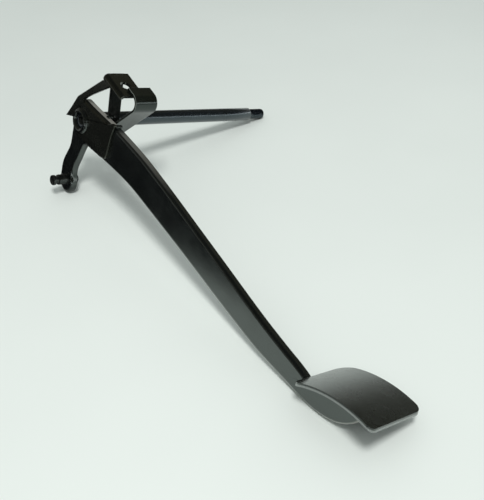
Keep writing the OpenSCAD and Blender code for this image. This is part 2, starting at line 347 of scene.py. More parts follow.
    # orange peel and slow waviness
    n5 = N.new('ShaderNodeTexNoise')
    n5.inputs['Scale'].default_value = peel_scale
    n5.inputs['Detail'].default_value = 1.5
    L.new(tc.outputs['Object'], n5.inputs['Vector'])
    bp = N.new('ShaderNodeBump')
    bp.inputs['Strength'].default_value = peel
    bp.inputs['Distance'].default_value = 0.0003
    L.new(n5.outputs['Fac'], bp.inputs['Height'])
    n6 = N.new('ShaderNodeTexNoise')
    n6.inputs['Scale'].default_value = 95.0
    n6.inputs['Detail'].default_value = 2.0
    L.new(tc.outputs['Object'], n6.inputs['Vector'])
    bp2 = N.new('ShaderNodeBump')
    bp2.inputs['Strength'].default_value = 0.10 + ripple
    bp2.inputs['Distance'].default_value = 0.0008
    L.new(n6.outputs['Fac'], bp2.inputs['Height'])
    L.new(bp.outputs['Normal'], bp2.inputs['Normal'])
    L.new(bp2.outputs['Normal'], b.inputs['Normal'])
    b.inputs['Specular IOR Level'].default_value = spec
    b.inputs['Coat Weight'].default_value = coat
    b.inputs['Coat Roughness'].default_value = coat_rough
    b.inputs['IOR'].default_value = 1.5
    b.inputs['Specular Tint'].default_value = tuple(tint) + (1,)
    return m


def pad_point(p, q, h):
    """p along the pad (+ towards its lower end), q across, h along its outward normal."""
    xx = q * math.cos(PADROLL) + h * math.sin(PADROLL)
    h = -q * math.sin(PADROLL) + h * math.cos(PADROLL)
    y = -p
    yy = y * math.cos(-PADA) - h * math.sin(-PADA)
    zz = y * math.sin(-PADA) + h * math.cos(-PADA)
    return (PADC[0] + xx, PADC[1] + yy, PADC[2] + zz)


# the arm gets a painted floor reflection on its lower side wall and painted highlight strips on its upper edge
M_ARM = paint("black_paint_arm", (0.0034, 0.0040, 0.0040), 0.22, wear=0.12, spec=1.0, coat=0.6, dust=0.05,
              painted_light_edge=(0.24, 0.235, 0.215), edge_rough=0.5)
# the lower part of the pad's side wall gets a painted floor reflection
M_PAD = paint("black_paint_pad", (0.0045, 0.0050, 0.0040), 0.26, wear=0.15, peel=0.08, spec=1.0, coat=0.7,
              coat_rough=0.2, dust=0.05,
              side=((R3 @ Vector((math.sin(PADROLL), math.sin(PADA), math.cos(PADA)))).normalized(), (0.18, 0.19, 0.185),
                    W(*pad_point(0, 0, CROWN - PR)),
                    (R3 @ (Vector(pad_point(0, 1, 0)) - Vector(pad_point(0, 0, 0)))).normalized(), (PR - 1.35) / 1000))
M_SHAFT = paint("black_paint_shaft", (0.0030, 0.0045, 0.0075), 0.24, wear=0.1, spec=0.8, coat=0.6, dust=0.03,
                tint=(0.70, 0.92, 1.0))
M_SHEET = paint("black_paint_sheet", (0.0038, 0.0042, 0.0034), 0.24, peel=0.05, wear=0.25, spec=0.8, coat=0.5,
                dust=0.03, tint=(0.92, 1.0, 0.80))
M_LEG = paint("black_paint_sheet_inner", (0.0036, 0.0040, 0.0036), 0.5, wear=0.2, spec=0.2, coat=0.0, dust=0.03)
# the strap's rounded near edges get a painted highlight
M_STRAP = paint("black_paint_strap", (0.0045, 0.0055, 0.0045), 0.20, peel=0.06, wear=0.2, spec=0.55, coat=0.35,
                coat_rough=0.06,
                dust=0.04, tint=(0.80, 1.0, 0.93), painted_rim_highlight=(R3 @ Vector((-1, 0, 0)), (0.20, 0.22, 0.20)))
M_WELD = paint("black_paint_weld", (0.0040, 0.0044, 0.0042), 0.24, ripple=0.25, peel=0.2, spec=0.9, coat=0.5, dust=0.06)
M_PIN = paint("black_paint_pin", (0.0040, 0.0044, 0.0044), 0.28, wear=0.3, spec=0.6, coat=0.3)


# ---------------------------------------------------------------- mesh helpers
def add_object(name, verts, faces, mat, nodes=(), sharp=35.0, bevel=None, weighted=True,
               subsurf=0, local=True):
    me = bpy.data.meshes.new(name)
    me.from_pydata([tuple(W(*v)) if local else tuple(v) for v in verts], [], faces)
    me.validate()
    me.update()
    ob = bpy.data.objects.new(name, me)
    bpy.context.scene.collection.objects.link(ob)
    import bmesh
    bm = bmesh.new()
    bm.from_mesh(me)
    bmesh.ops.recalc_face_normals(bm, faces=bm.faces)
    bm.to_mesh(me)
    bm.free()
    for p in me.polygons:
        p.use_smooth = True
    if sharp:
        me.set_sharp_from_angle(angle=math.radians(sharp))
    me.materials.append(mat)
    if bevel:
        w, seg, ang = bevel
        md = ob.modifiers.new("round_edges", 'BEVEL')
        md.width = w * 0.001
        md.segments = seg
        md.limit_method = 'ANGLE'
        md.angle_limit = math.radians(ang)
        md.harden_normals = False
    if subsurf:
        md = ob.modifiers.new("smooth", 'SUBSURF')
        md.levels = subsurf
        md.render_levels = subsurf
    if weighted:
        md = ob.modifiers.new("normals", 'WEIGHTED_NORMAL')
        md.keep_sharp = not bevel
        md.weight = 80
    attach(ob, "root")
    for n in nodes:
        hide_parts(n)
    return ob


def chaikin(pts, n, closed=True, keep=()):
    for _ in range(n):
        out = []
        m = len(pts)
        for i in range(m if closed else m - 1):
            a, b = pts[i], pts[(i + 1) % m]
            out.append((a[0] * .75 + b[0] * .25, a[1] * .75 + b[1] * .25))
            out.append((a[0] * .25 + b[0] * .75, a[1] * .25 + b[1] * .75))
        if not closed:
            out = [pts[0]] + out + [pts[-1]]
        pts = out
    return pts


def area2(pts):
    return sum(pts[i][0] * pts[(i + 1) % len(pts)][1] - pts[(i + 1) % len(pts)][0] * pts[i][1]
               for i in range(len(pts)))


def normals2(pts):
    """Outward normals of a closed outline."""
    sgn = 1 if area2(pts) > 0 else -1
    out = []
    n = len(pts)
    for i in range(n):
        a, b = pts[i - 1], pts[(i + 1) % n]
        dx, dy = b[0] - a[0], b[1] - a[1]
        l = math.hypot(dx, dy) or 1.0
        out.append((sgn * dy / l, -sgn * dx / l))
    return out


def thin(pts, gap):
    out = [pts[0]]
    for p in pts[1:]:
        if math.hypot(p[0] - out[-1][0], p[1] - out[-1][1]) >= gap:
            out.append(p)
    if math.hypot(out[0][0] - out[-1][0], out[0][1] - out[-1][1]) < gap * 0.5:
        out.pop()
    return out


def plate(name, outline, x0, x1, r_near, r_far, mat, nodes=(), seg=5, xf=None, lip=0.0):
    """Flat plate with rounded edges from a closed outline in (y, z). x0 is the near side."""
    nn = normals2(outline)
    prof = []
    for k in range(seg + 1):
        a = math.pi / 2 * k / seg
        prof.append((x0 + r_near * (1 - math.sin(a)), r_near * (1 - math.cos(a))))
    prof.reverse()
    # near cap first
    prof = [(x0, r_near + lip)] if lip else []
    prof += [(x0 + r_near * (1 - math.cos(math.pi / 2 * k / seg)),
              r_near * (1 - math.sin(math.pi / 2 * k / seg))) for k in range(seg + 1)]
    prof += [(x1 - r_far * (1 - math.cos(math.pi / 2 * k / seg)),
              r_far * (1 - math.sin(math.pi / 2 * k / seg))) for k in range(seg, -1, -1)]
    if lip:
        prof += [(x1, r_far + lip)]
    V, F = [], []
    n = len(outline)
    for (x, ins) in prof:
        for (p, q) in zip(outline, nn):
            c = (x, p[0] - q[0] * ins, p[1] - q[1] * ins)
            V.append(xf(*c) if xf else c)
    for j in range(len(prof) - 1):
        for i in range(n):
            a, b = j * n + i, j * n + (i + 1) % n
            F.append((a, b, b + n, a + n))
    F.append(tuple(range(n))[::-1])
    F.append(tuple(range((len(prof) - 1) * n, len(prof) * n)))
    ob = add_object(name, V, F, mat, nodes, sharp=40)
    for pg in ob.data.polygons:
        if len(pg.vertices) > 4:
            pg.use_smooth = False
    return ob


def lathe(name, prof, cy, cz, mat, nodes=(), seg=96, fn=None, sharp=30, bevel=None):
    """Revolved profile [(r, x)] about the axis through (cy, cz), closed at r = 0 ends or as a ring."""
    V, F = [], []
    ring = prof[0][0] > 1e-6
    idx = []
    for j, (r, x) in enumerate(prof):
        if r < 1e-6:
            idx.append([len(V)])
            V.append((x, cy, cz))
        else:
            row = []
            for i in range(seg):
                a = 2 * math.pi * i / seg
                rr, xx = (r, x) if fn is None else fn(r, x, a, j)
                row.append(len(V))
                V.append((xx, cy + rr * math.cos(a), cz + rr * math.sin(a)))
            idx.append(row)
    pairs = list(zip(idx, idx[1:]))
    if ring:
        pairs.append((idx[-1], idx[0]))
    for A, B in pairs:
        for i in range(seg):
            k = (i + 1) % seg
            if len(A) == 1 and len(B) == 1:
                continue
            if len(A) == 1:
                F.append((A[0], B[k], B[i]))
            elif len(B) == 1:
                F.append((A[i], A[k], B[0]))
            else:
                F.append((A[i], A[k], B[k], B[i]))
    return add_object(name, V, F, mat, nodes, sharp=sharp, bevel=bevel, weighted=False)


def arc(cx, cy, r, a0, a1, n):
    return [(cx + r * math.cos(math.radians(a0 + (a1 - a0) * k / n)),
             cy + r * math.sin(math.radians(a0 + (a1 - a0) * k / n))) for k in range(n + 1)]


def bead(name, path, r, mat, nodes=(), pitch=1.5, depth=0.22, flat=1.0, up=(0, 0, 1), seg=16, seed=0.0):
    """Laid weld bead: a tube along path whose surface steps in overlapping ripples."""
    P = [Vector(p) for p in path]
    # resample
    L = [0.0]
    for a, b in zip(P, P[1:]):
        L.append(L[-1] + (b - a).length)
    tot = L[-1]
    n = max(8, int(tot / 0.22))
    S = []
    for k in range(n + 1):
        s = tot * k / n
        i = 0
        while i < len(L) - 2 and L[i + 1] < s:
            i += 1
        t = (s - L[i]) / max(L[i + 1] - L[i], 1e-6)
        S.append(P[i].lerp(P[i + 1], t))
    V, F = [], []
    for k, p in enumerate(S):
        a, b = S[max(k - 1, 0)], S[min(k + 1, n)]
        t = (b - a).normalized()
        u = (Vector(up) - t * t.dot(Vector(up)))
        u = u.normalized() if u.length > 1e-6 else Vector((1, 0, 0))
        v = t.cross(u)
        s = tot * k / n
        endf = min(1.0, math.sqrt(max(0.0, 1 - (1 - min(s, tot - s) / (r * 1.1)) ** 2)) if min(s, tot - s) < r * 1.1 else 1.0)
        for i in range(seg):
            an = 2 * math.pi * i / seg
            # ripples are crescents: the phase lags at the sides
            ph = (s + seed + 0.55 * (1 - math.cos(an)) * r * 0.4) / pitch
            saw = ph - math.floor(ph)
            rr = r * (1 + depth * (saw - 0.5) * 0.6 + 0.06 * math.sin(s * 0.9 + seed))
            rr *= max(endf, 0.02)
            V.append(tuple(p + u * (rr * math.cos(an) * flat) + v * (rr * math.sin(an))))
    m = len(S)
    for k in range(m - 1):
        for i in range(seg):
            a, b = k * seg + i, k * seg + (i + 1) % seg
            F.append((a, b, b + seg, a + seg))
    F.append(tuple(range(seg))[::-1])
    F.append(tuple(range((m - 1) * seg, m * seg)))
    return add_object(name, V, F, mat, nodes, sharp=70, weighted=False)


# ---------------------------------------------------------------- arm
upper = [(4, 20.1), (-5.5, 18.4), (-16, 16.8), (-30, 15.1), (-43.3, 13.5), (-58, 11.3), (-72.6, 8.6), (-85, 6.2),
         (-97.7, 3.5), (-111, 0.0), (-124.9, -4.0), (-149.7, -11.3), (-173.8, -18.8), (-192.4, -24.6), (-210.3, -30.1), (-236.4, -38.2),
         (-254, -43.8), (-269.5, -48.6), (-286, -53.6), (-302.3, -57.9), (-316, -61.4), (-327, -63.9),
         (-336, -66.4), (-341, -68.2)]
under = []
for k in range(0, 17):
    p = -36.6 + 58.6 * k / 16
    h = math.sqrt((PR - 1.5) ** 2 - p * p) - PR + CROWN
    q = pad_point(p, 3.5 - PADC[0], h)
    under.append((q[1], q[2]))
foot = [(-400.2, -58), (-399, -61.5), (-396, -67), (-392.2, -72), (-388, -76.2), (-383.2, -79.8), (-377, -83),
        (-370, -85.2), (-362, -86.5), (-354, -87.1), (-345.5, -86.9), (-336.5, -85.8), (-327.6, -84.5)]
lower = [(-318.8, -83.2), (-309.5, -82.1), (-300.3, -80.8), (-291, -79.5), (-282.1, -77.8), (-264.9, -73.7),
         (-247.3, -69.3), (-229.3, -64.7), (-211.1, -59.9), (-192.1, -55), (-172.5, -50), (-152, -45),
         (-130.9, -39.8), (-109.1, -34.5), (-98, -31.8), (-85.8, -29.4), (-71.8, -27.5), (-56.7, -26),
         (-41.3, -24.7), (-26.3, -23.2), (-13, -21.9), (-8.4, -22.4), (-5.2, -24.6), (-3, -28.5), (0.4, -36.4),
         (3.2, -44.2), (6.2, -50.2), (8.2, -56.4), (8.6, -62)]
eye = arc(EYE[0], EYE[1], EYE_R, 150, 374, 26)
outer = [(30.2, -64), (30, -59.6), (29.2, -55), (27.2, -49.6), (24.6, -44.4), (21.8, -39.2), (19.8, -34),
         (19.1, -29), (19, -20.6), (18.9, -11.9)]
hub = arc(0, 0, 19.0, -8, 70, 12)
outline = upper + under + foot + lower + eye + outer + hub
outline = thin(chaikin(outline, 2), 0.9)
plate("arm_plate", outline, 0.0, ARM_T, 2.7, 0.9, M_ARM, ("pedal_arm",), seg=6, lip=0.4)

# ---------------------------------------------------------------- pad
NP, NQ = 44, 40
a, b, r = PADL / 2, PADW / 2, PADR


def cut(e, r_):
    """How far a rounded corner of radius r_ takes the side in, e beyond the corner's start."""
    return 0.0 if e <= 0 else r_ - math.sqrt(max(0.0, r_ * r_ - e * e))


def side_q(p):
    lo = -b + cut(abs(p) - (a - PADR), PADR)
    hi = b - (cut(-p - (a - PADR2), PADR2) if p < 0 else cut(p - (a - PADR - 1.0), PADR + 1.0))
    return lo, hi


ps = []
for k in range(13):
    an = math.pi / 2 * k / 12
    ps.append(-(a - PADR2) - PADR2 * math.cos(an))
inner_n = 30
lo_end = a - PADR - 1.0
for k in range(1, inner_n):
    ps.append(-(a - PADR2) + (lo_end + a - PADR2) * k / inner_n)
for k in range(10):
    an = math.pi / 2 * (1 - k / 9)
    ps.append(lo_end + (PADR + 1.0) * math.cos(an))
V, F = [], []
for side in (0, 1):
    for p in ps:
        q0, q1 = side_q(p)
        for k in range(NQ + 1):
            q = q0 + (q1 - q0) * k / NQ
            R_ = PR if side == 0 else PR - PADT
            h = math.sqrt(R_ * R_ - p * p) - PR + CROWN
            V.append(pad_point(p, q, h))
nr, nc = len(ps), NQ + 1
for i in range(nr - 1):
    for j in range(nc - 1):
        A = i * nc + j
        F.append((A, A + 1, A + nc + 1, A + nc))
        B = nr * nc + A
        F.append((B, B + nc, B + nc + 1, B + 1))
loop = [j for j in range(nc)] + [i * nc + nc - 1 for i in range(1, nr)] + \
       [(nr - 1) * nc + j for j in range(nc - 2, -1, -1)] + [i * nc for i in range(nr - 2, 0, -1)]
for k in range(len(loop)):
    A, B = loop[k], loop[(k + 1) % len(loop)]
    F.append((A, B, B + nr * nc, A + nr * nc))
add_object("pad_plate_skin", V, F, M_PAD, ("pad_plate",), sharp=None, bevel=(0.8, 4, 50))

# pad welds under the plate, one each side of the foot
for (nm, x) in (("pad_weld_bead_near", -0.4), ("pad_weld_bead_far", ARM_T + 0.4)):
    path = []
    for k in range(40):
        p = -30.5 + 47.5 * k / 39
        h = math.sqrt((PR - PADT) ** 2 - p * p) - PR + CROWN - 0.6
        path.append(pad_point(p, x - PADC[0], h))
    bead(nm, path, 2.3, M_WELD, ("pad_weld_near",) if x < 0 else ("pad_weld_far",),
         pitch=2.1, depth=0.3, up=(-1 if x < 0 else 1, 0, 0), seed=1.0 if x < 0 else 2.0)

# ---------------------------------------------------------------- shaft
prof = [(0, -2.5), (1.8, -2.55), (3.6, -2.75), (5.4, -3.1), (SEAT_R - 1.3, -3.35), (SEAT_R - 0.5, -3.3),
        (SEAT_R - 0.1, -3.0), (SEAT_R, -2.6), (SEAT_R, 11.4), (SHAFT_R, 12.0), (SHAFT_R, 60), (SHAFT_R, 120), (SHAFT_R, 180),
        (SHAFT_R, SHAFT_L - 1.8), (SHAFT_R - 0.15, SHAFT_L - 1.5), (SHAFT_R - 1.45, SHAFT_L - 0.15),
        (SHAFT_R - 1.6, SHAFT_L), (STUB_R - 0.9, SHAFT_L), (STUB_R - 0.9, SHAFT_L + 1.5)]
V, F = [], []
SEG = 96
pitch = 1.27
tdep = 0.78
x_t0, x_t1 = SHAFT_L + 1.5, SHAFT_L + STUB_L
nx = int((x_t1 - x_t0) / (pitch / 10))
rows_p = [(r_, x_, 0) for (r_, x_) in prof]
for k in range(1, nx + 1):
    rows_p.append((STUB_R, x_t0 + (x_t1 - x_t0) * k / nx, 1))
idx = []
for (r_, x_, th) in rows_p:
    if r_ < 1e-6:
        idx.append([len(V)])
        V.append((x_, 0, 0))
        continue
    row = []
    for i in range(SEG):
        an = 2 * math.pi * i / SEG
        rr = r_
        if th:
            ph = x_ / pitch - an / (2 * math.pi)
            f = abs((ph - math.floor(ph)) - 0.5) * 2          # 0 crest .. 1 root
            f = min(max((f - 0.12) / 0.74, 0.0), 1.0)
            lead = min(1.0, (x_ - x_t0) / 2.0)
            tip = max(0.0, (x_ - (x_t1 - 1.5)) / 1.5)
            crest = STUB_R - 1.3 * tip * tip
            rr = crest - tdep * f * (1 - tip) * lead - (1 - lead) * 0.8
        row.append(len(V))
        V.append((x_, rr * math.cos(an), rr * math.sin(an)))
    idx.append(row)
last = len(V)
V.append((x_t1, 0, 0))
idx.append([last])
for A, B in zip(idx, idx[1:]):
    for i in range(SEG):
        k = (i + 1) % SEG
        if len(A) == 1:
            F.append((A[0], B[k], B[i]))
        elif len(B) == 1:
            F.append((A[i], A[k], B[0]))
        else:
            F.append((A[i], A[k], B[k], B[i]))
add_object("shaft_turned", V, F, M_SHAFT, ("pivot_shaft",), sharp=50, weighted=False)


def wob(amp, n, seed):
    def f(r_, x_, an, j):
        k = amp * (0.6 * math.sin(n * an + seed) + 0.4 * math.sin((n * 0.5 + 2) * an + 1.7 * seed))
        return r_ + k * (1 if r_ > SEAT_R + 0.3 else 0), x_ + 0.3 * k * (1 if r_ > SEAT_R + 0.3 else 0)
    return f


def ripple(amp, n, seed):
    def f(r_, x_, an, j):
        if r_ < SEAT_R + 0.3:
            return r_, x_
        ph = (an / (2 * math.pi) * n + 0.08 * j + seed)
        saw = ph - math.floor(ph)
        return r_ + amp * (saw - 0.5) + 0.12 * math.sin(3 * an + seed), x_
    return f


# near collar: smooth rounded weld ring
cp = [(SEAT_R - 0.3, -SHEET + 0.2), (SEAT_R - 0.35, -SHEET - 0.6), (SEAT_R - 0.25, -SHEET - 1.4),
      (SEAT_R + 0.05, -SHEET - 2.1), (SEAT_R + 0.6, -SHEET - 2.7), (SEAT_R + 1.3, -SHEET - 3.05),
      (SEAT_R + 2.1, -SHEET - 3.05), (SEAT_R + 2.9, -SHEET - 2.7), (SEAT_R + 3.6, -SHEET - 2.1),
      (SEAT_R + 4.2, -SHEET - 1.3), (SEAT_R + 4.6, -SHEET - 0.4), (SEAT_R + 4.7, -SHEET + 0.2)]


def low(r_, x_, an, j):
    """The ring is fuller below the shaft than above it."""
    k = min(1.0, max(0.0, (r_ - SEAT_R + 0.1) / 1.2))
    ry, rz = r_ * math.cos(an) + 0.3 * k, r_ * math.sin(an) - 1.5 * k
    if k > 0.9:
        r2 = math.hypot(ry, rz) + 0.08 * math.sin(3 * an + 0.3) + 0.10 * math.sin(26 * an)
        a2 = math.atan2(rz, ry)
        return r2 * math.cos(a2), r2 * math.sin(a2), x_
    return ry, rz, x_


V, F = [], []
NC, n_ = 160, len(cp)
for jj, (r_, x_) in enumerate(cp):
    for i in range(NC):
        yy, zz, xx = low(r_, x_, 2 * math.pi * i / NC, jj)
        V.append((xx, yy, zz))
for jj in range(n_):
    for i in range(NC):
        k = (i + 1) % NC
        A, B = jj * NC, ((jj + 1) % n_) * NC
        F.append((A + i, A + k, B + k, B + i))
add_object("collar_near", V, F, M_WELD, ("hub_collar",), sharp=None, weighted=False)
cf = []
for k in range(13):
    t = k / 12
    an = math.pi / 2 * t
    cf.append((SEAT_R + 4.4 * (1 - math.cos(an)) ** 0.75, ARM_T + 4.3 * (1 - math.sin(an)) ** 0.9))
cf = [(SEAT_R - 0.2, ARM_T)] + [(SEAT_R - 0.2, ARM_T + 4.25)] + cf
lathe("collar_far", cf, 0, 0, M_WELD, ("shaft_weld_far",), seg=160, fn=ripple(0.26, 22, 0.8), sharp=None)


# ---------------------------------------------------------------- stop bracket
def tp_xf(x, s, h):
    """Point of the top plate: s back along its length from the bracket's top corner, h above its face."""
    y = -s
    return (x, TP[0] + y * math.cos(TPA) - h * math.sin(TPA), TP[1] + y * math.sin(TPA) + h * math.cos(TPA))


t0 = tp_xf(0, 0.0, -BEND)
t1 = tp_xf(0, 19.6, -BEND)
side = [(-25.9, 49.2), (-7, 34.6), (12.3, 19.6), (20.5, 6.6), (29.2, -6.2), (20, -3.6), (11.4, -1.2), (11.6, -8),
        (8, -14.4), (2, -17.6), (-10, -19), (-28, -20), (-46, -20.8), (-48, -20.2), (-49.4, -18),
        (-51.3, -4.1), (-53.1, 7.6), (-56.2, 15.2), (-55.3, 16.4), (-49.6, 15.6), (-46, 13.2), (-42, 12.4),
        (-30, 13.6), (-16, 15.2), (-5.5, 16.8), (2.4, 19), (-3.5, 24.4), (-22, 36.1), (-39, 46.8)]


def soften(pts, d):
    """Cuts each corner with a small arc of about d."""
    out = []
    n = len(pts)
    for i in range(n):
        a_, p_, b_ = Vector(pts[i - 1]), Vector(pts[i]), Vector(pts[(i + 1) % n])
        u, v = a_ - p_, b_ - p_
        du, dv = min(d, u.length * 0.45), min(d, v.length * 0.45)
        A, B = p_ + u.normalized() * du, p_ + v.normalized() * dv
        for k in range(5):
            t = k / 4
            out.append(tuple((A * (1 - t) + p_ * t) * (1 - t) + (p_ * (1 - t) + B * t) * t))
    return out


side_soft = soften(side, 1.6)
side_soft = [(t0[1], t0[2])] + side_soft + [(t1[1], t1[2])]
plate("bracket_side", side_soft, -SHEET, -0.02, 0.8, 0.3, M_SHEET, ("stop_bracket",), seg=3)

# bent top: L profile swept along the fold, with the bumper hole cut through
prof = []
for k in range(9):
    an = math.pi + -math.pi / 2 * k / 8
    prof.append((-SHEET + BEND + BEND * math.cos(an), -BEND + BEND * math.sin(an)))
top_prof = prof
hole_c = (10.0, 17.7)
HR = 5.1


def top_mesh():
    V, F = [], []
    x_l, x_r = -SHEET + BEND, -SHEET + TOPW
    # top and underside faces as rings round the hole out to the rectangle
    seg = 64
    rect = (x_l, x_r, 0.0, TPLEN)
    cr = 1.8

    def ray_rect(an):
        dx, dy = math.cos(an), math.sin(an)
        ts = []
        if dx > 1e-9: ts.append((rect[1] - hole_c[0]) / dx)
        if dx < -1e-9: ts.append((rect[0] - hole_c[0]) / dx)
        if dy > 1e-9: ts.append((rect[3] - hole_c[1]) / dy)
        if dy < -1e-9: ts.append((rect[2] - hole_c[1]) / dy)
        t = min(ts)
        return hole_c[0] + dx * t, hole_c[1] + dy * t
    angs = [2 * math.pi * i / seg for i in range(seg)]
    corners = [math.atan2(y - hole_c[1], x - hole_c[0]) % (2 * math.pi) for x in (x_l, x_r) for y in (0.0, TPLEN)]
    angs = sorted(set([round(v, 6) for v in angs] + [round(v, 6) for v in corners]))
    # drop plain angles too near a corner
    cs = [round(v, 6) for v in corners]
    angs = [v for v in angs if v in cs or all(abs(v - c_) > 0.03 for c_ in cs)]
    n = len(angs)
    for h in (0.0, -SHEET):
        for an in angs:
            V.append((hole_c[0] + HR * math.cos(an), hole_c[1] + HR * math.sin(an), h))
        for an in angs:
            x, y = ray_rect(an)
            V.append((x, y, h))
    for i in range(n):
        k = (i + 1) % n
        F.append((i, k, n + k, n + i))
        F.append((2 * n + i, 3 * n + i, 3 * n + k, 2 * n + k))
        F.append((i, 2 * n + i, 2 * n + k, k))
        # outer wall where it is not the fold side
        xa, xb = V[n + i][0], V[n + k][0]
        if not (abs(xa - x_l) < 1e-4 and abs(xb - x_l) < 1e-4):
            F.append((n + i, n + k, 3 * n + k, 3 * n + i))
    # fold: sweep arcs along the length, starting from the rectangle's fold side
    fold = sorted([i for i in range(n) if abs(V[n + i][0] - x_l) < 1e-4], key=lambda i: V[n + i][1])
    segs = 8
    prev_o = [n + i for i in fold]
    prev_i = [3 * n + i for i in fold]
    ri = BEND - SHEET
    for k in range(1, segs + 1):
        an = math.pi / 2 + math.pi / 2 * k / segs
        o, q = [], []
        for i in fold:
            s = V[n + i][1]
            o.append(len(V)); V.append((x_l + BEND * math.cos(an), s, -BEND + BEND * math.sin(an)))
            q.append(len(V)); V.append((x_l + ri * math.cos(an), s, -BEND + ri * math.sin(an)))
        for j in range(len(fold) - 1):
            F.append((prev_o[j], prev_o[j + 1], o[j + 1], o[j]))
            F.append((prev_i[j], q[j], q[j + 1], prev_i[j + 1]))
        F.append((prev_o[0], o[0], q[0], prev_i[0]))
        F.append((prev_o[-1], prev_i[-1], q[-1], o[-1]))
        prev_o, prev_i = o, q
    for j in range(len(fold) - 1):
        F.append((prev_o[j], prev_o[j + 1], prev_i[j + 1], prev_i[j]))
    return [tp_xf(x, s, h) for (x, s, h) in V], F


V, F = top_mesh()
add_object("bracket_top", V, F, M_SHEET, (), sharp=None, bevel=(0.4, 2, 50))

# leg plate
def tp2(s_, h_):
    q_ = tp_xf(0, -s_, h_)
    return (q_[1], q_[2])


leg = [(-28.2, 7.0), (-31.2, 7.0), tp2(0.3, -3.4), tp2(0.0, -3.0)] + \
      [tp2(3.3 * math.sin(math.radians(9 * k)), -4.1 + 3.3 * math.cos(math.radians(9 * k))) for k in range(11)]
plate("leg_plate", leg, ARM_T, ARM_T + 12.5, 0.5, 0.5, M_LEG, ("bracket_leg",), seg=3)

# ---------------------------------------------------------------- strap


def strap_profile():
    a0, a1 = math.pi / 2 + TPA, 3 * math.pi / 2 + SDA
    o, i_ = [], []
    n = 28
    for k in range(n + 1):
        an = a0 + (a1 - a0) * k / n
        o.append((SC[0] + CURL * math.cos(an), SC[1] + CURL * math.sin(an)))
        ri = CURL - STRAP_T
        i_.append((SC[0] + ri * math.cos(an), SC[1] + ri * math.sin(an)))

    def s_in(r_):
        return (SC[0] + r_ * math.cos(a0) + 9.6 * math.cos(TPA), SC[1] + r_ * math.sin(a0) + 9.6 * math.sin(TPA))

    def s_out(r_, d):
        return (SC[0] + r_ * math.cos(a1) + d * math.cos(SDA), SC[1] + r_ * math.sin(a1) + d * math.sin(SDA))
    run = [s_out(CURL, 62.0 * k / 12) for k in range(1, 13)]
    run_i = [s_out(CURL - STRAP_T, 62.0 * k / 12) for k in range(12, 0, -1)]
    return [s_in(CURL)] + o + run, [s_in(CURL - STRAP_T)] + i_ + run_i[::-1]


so, si = strap_profile()
V, F = [], []
NX = 8
for x_k in range(NX + 1):
    x = 8.0 + 24.0 * x_k / NX
    for p in so:
        V.append((x, p[0], p[1]))
    for p in si:
        V.append((x, p[0], p[1]))
m = len(so)
st = 2 * m
for x_k in range(NX):
    for j in range(m - 1):
        A = x_k * st + j
        F.append((A, A + 1, A + 1 + st, A + st))
        B = A + m
        F.append((B, B + st, B + 1 + st, B + 1))
    for j in (0, m - 1):
        A = x_k * st + j
        F.append((A, A + m, A + m + st, A + st))
for x_k in (0, NX):
    for j in range(m - 1):
        A = x_k * st + j
        F.append((A, A + 1, A + 1 + m, A + m))
add_object("strap_sheet", V, F, M_STRAP, ("spring_strap",), sharp=None, bevel=(0.5, 3, 50))

# ---------------------------------------------------------------- welds on bracket, leg and strap
bead("bracket_bead", [(-0.8, -14, -19.6), (-0.8, -42, -21.2)], 1.5, M_WELD, ("bracket_weld",), up=(-1, 0, 0), seed=0.4)
bead("leg_bead_foot", [(ARM_T - 4, -33, 15.4), (ARM_T + 5, -33, 15.2)], 2.0, M_WELD,
     ("leg_weld_foot",), up=(0, -0.5, 0.8), pitch=1.9, depth=0.45, seed=0.9)
bead("leg_bead_side", [(ARM_T + 0.6, -31.8, 8.5), (ARM_T + 0.6, -32.3, 15.4)], 1.9, M_WELD, (),
     up=(0, -1, 0), pitch=1.7, depth=0.35, seed=0.2)
wt = [tp_xf(ARM_T + 2 + k, -0.2, -SHEET - 0.4) for k in (0, 4.2, 8.4)]
bead("leg_bead_top", wt, 1.4, M_WELD, ("leg_weld_top",), up=(0, -1, 0), seed=0.5)
ws = [tp_xf(10.0 + k, 24.9, 0.3) for k in (0, 5, 10)]
bead("strap_bead_top", ws, 1.4, M_WELD, ("strap_weld_top",), up=(0, 0, 1), seed=0.1)
bead("lug_bead", [(0.4, -51.6, 12.8), (4.5, -51.4, 12.8), (9.4, -51.5, 12.4)], 1.9, M_WELD, ("lug_weld",),
     up=(0, 0.2, 1), pitch=1.8, depth=0.4, seed=0.3)
wa = []
for d in (38.0, 48.0, 58.0):
    y = SC[0] + (CURL - STRAP_T) * math.cos(3 * math.pi / 2 + SDA) + d * math.cos(SDA)
    z = SC[1] + (CURL - STRAP_T) * math.sin(3 * math.pi / 2 + SDA) + d * math.sin(SDA)
    wa.append((ARM_T + 0.9, y, z))
bead("strap_bead_arm", wa, 1.6, M_WELD, ("strap_weld_arm",), up=(1, 0, 0), seed=0.7)

# ---------------------------------------------------------------- rod pin
PR_, PG_ = 5.3, 3.6
hx = -9.5
pp = [(0, hx - 6.15), (1.6, hx - 6.15), (2.5, hx - 6.3), (3.3, hx - 6.75), (4.0, hx - 6.9), (4.6, hx - 6.85),
      (5.05, hx - 6.5), (5.2, hx - 6.0), (5.2, hx - 4.3), (5.0, hx - 3.75), (4.6, hx - 3.5), (4.0, hx - 3.5),
      (3.7, hx - 3.3), (PG_, hx - 2.9), (PG_, hx - 1.1), (3.7, hx - 0.7), (4.0, hx - 0.5), (4.7, hx - 0.5),
      (5.15, hx - 0.3), (PR_, hx + 0.2), (PR_, -0.2), (4.1, 0.0), (4.1, 8.4), (5.1, 8.4), (5.35, 8.7),
      (5.4, 9.2), (5.35, 10.2), (5.0, 11.0), (4.3, 11.6), (2.6, 11.9), (1.2, 11.95), (0, 11.8)]
lathe("rod_pin_turned", pp, PIN[0], PIN[1], M_PIN, ("rod_pin",), seg=72, sharp=60)
wp = [(4.1, 7.0), (6.2, 7.0), (6.35, 7.1), (6.4, 7.3), (6.4, 8.1), (6.35, 8.3), (6.2, 8.4), (4.1, 8.4)]
